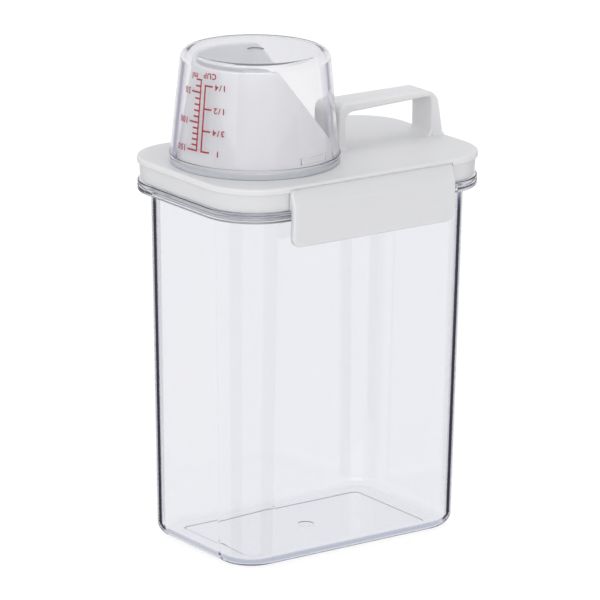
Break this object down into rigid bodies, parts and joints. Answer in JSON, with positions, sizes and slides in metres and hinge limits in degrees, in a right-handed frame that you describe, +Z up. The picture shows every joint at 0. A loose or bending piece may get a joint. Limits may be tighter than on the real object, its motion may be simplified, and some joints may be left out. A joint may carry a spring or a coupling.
{
  "type": "storage box with measuring cup",
  "caption": "Tall clear storage box for dry food with a white latched lid, carrying handle and pouring spout, capped by an upturned clear measuring cup with a printed scale.",
  "frame": {"origin": "middle of the underside, on the surface the box stands on", "axes": "+Z up, +X towards the handle end, -X towards the spout and cup, -Y the long side seen in the picture"},
  "size_m": [0.1504, 0.1094, 0.2404],
  "materials": {
    "clear_container": "clear moulded plastic, glossy",
    "white_lid": "white polypropylene, satin",
    "packing": "translucent white silicone, matt",
    "grey_seal": "grey translucent silicone, satin",
    "clear_cup": "clear moulded plastic, glossy, with a red printed scale"
  },
  "bodies": {
    "box": {"container": "clear_container", "lid": "white_lid", "lid_packing": "packing", "cup_ring": "grey_seal"},
    "flap_front": {"latch_front": "white_lid"},
    "flap_rear": {"latch_rear": "white_lid"},
    "cup": {"measuring_cup": "clear_cup"}
  },
  "joints": [
    {"name": "flap_front_hinge", "type": "hinge", "parent": "box", "child": "flap_front", "pos_m": [0, -0.05185, 0.18538], "axis": [-1, 0, 0], "range_deg": [0, 110]},
    {"name": "flap_rear_hinge", "type": "hinge", "parent": "box", "child": "flap_rear", "pos_m": [0, 0.05185, 0.18538], "axis": [1, 0, 0], "range_deg": [0, 110]},
    {"name": "cup_lift", "type": "slide", "parent": "box", "child": "cup", "axis": [0, 0, 1], "range_m": [0, 0.06]}
  ]
}
